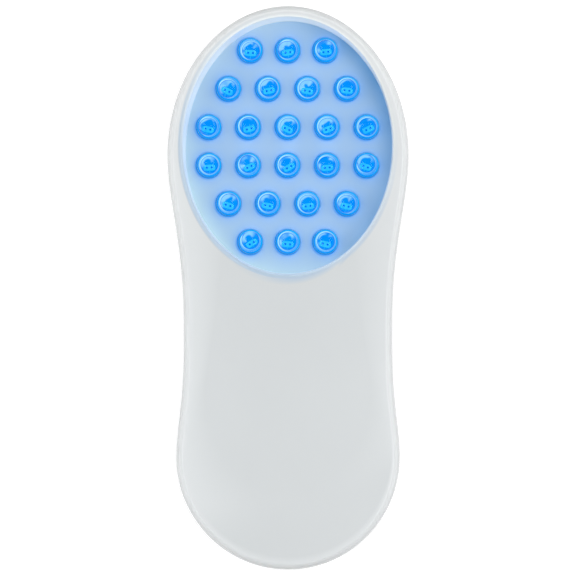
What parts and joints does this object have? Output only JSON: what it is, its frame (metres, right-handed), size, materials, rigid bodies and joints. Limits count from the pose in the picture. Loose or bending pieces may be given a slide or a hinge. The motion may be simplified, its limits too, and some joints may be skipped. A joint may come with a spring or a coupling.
{
  "type": "led acne treatment device",
  "caption": "Hand-held blue light skin device: oval window of blue LED lamps in a recessed head, waisted handle, battery door and push button on the back.",
  "frame": {"origin": "below the middle of the body, on the plane that the flat of the back rests on", "axes": "+Z out of the lamp window, +Y along the body to the head, +X to the right seen from the front"},
  "size_m": [0.0578, 0.1352, 0.0279],
  "materials": {
    "white_shell": "satin-gloss moulded white plastic, faint cool tint",
    "lamp_panel": "smooth pale plate lit blue by the lamps in it",
    "lamp": "clear blue cast lens with a lit core",
    "lamp_board": "white solder mask",
    "control_board": "green solder mask",
    "black_plastic": "fine moulded black plastic",
    "capacitor": "sleeved can",
    "cream_plastic": "moulded connector body",
    "button": "soft satin grey",
    "cell": "plain wrapped steel can",
    "steel": "nickel-plated sheet, wire and screws",
    "wire_red": "red insulation",
    "wire_black": "black insulation"
  },
  "bodies": {
    "body": {"front_shell": "white_shell", "back_shell": "white_shell", "lamp_panel": "lamp_panel", "led_board": "lamp_board", "control_board": "control_board", "tact_switch": "black_plastic", "control_chip": "black_plastic", "buzzer": "black_plastic", "capacitor": "capacitor", "wire_connector": "cream_plastic", "led_01": "lamp", "led_02": "lamp", "led_03": "lamp", "led_04": "lamp", "led_05": "lamp", "led_06": "lamp", "led_07": "lamp", "led_08": "lamp", "led_09": "lamp", "led_10": "lamp", "led_11": "lamp", "led_12": "lamp", "led_13": "lamp", "led_14": "lamp", "led_15": "lamp", "led_16": "lamp", "led_17": "lamp", "led_18": "lamp", "led_19": "lamp", "led_20": "lamp", "led_21": "lamp", "led_22": "lamp", "led_23": "lamp", "led_24": "lamp", "battery_cell_1": "cell", "battery_cell_2": "cell", "battery_cell_3": "cell", "contact_spring_1": "steel", "contact_spring_2": "steel", "contact_spring_3": "steel", "contact_positive": "steel", "contact_negative": "steel", "contact_bridge_foot": "steel", "contact_bridge_head": "steel", "casing_screw_1": "steel", "casing_screw_2": "steel", "casing_screw_3": "steel", "casing_screw_4": "steel", "wire_positive": "wire_red", "lamp_lead_positive": "wire_red", "wire_negative": "wire_black", "lamp_lead_negative": "wire_black"},
    "button": {"power_button": "button", "switch_plunger": "button"},
    "door": {"battery_door": "white_shell"}
  },
  "joints": [
    {"name": "power_button_press", "type": "slide", "parent": "body", "child": "button", "axis": [0, 0, 1], "range_m": [0, 0.0005], "stiffness_N_per_m": 2500},
    {"name": "battery_door_swing", "type": "hinge", "parent": "body", "child": "door", "pos_m": [0, -0.05165, 0], "axis": [-1, 0, 0], "range_deg": [0, 75]}
  ]
}
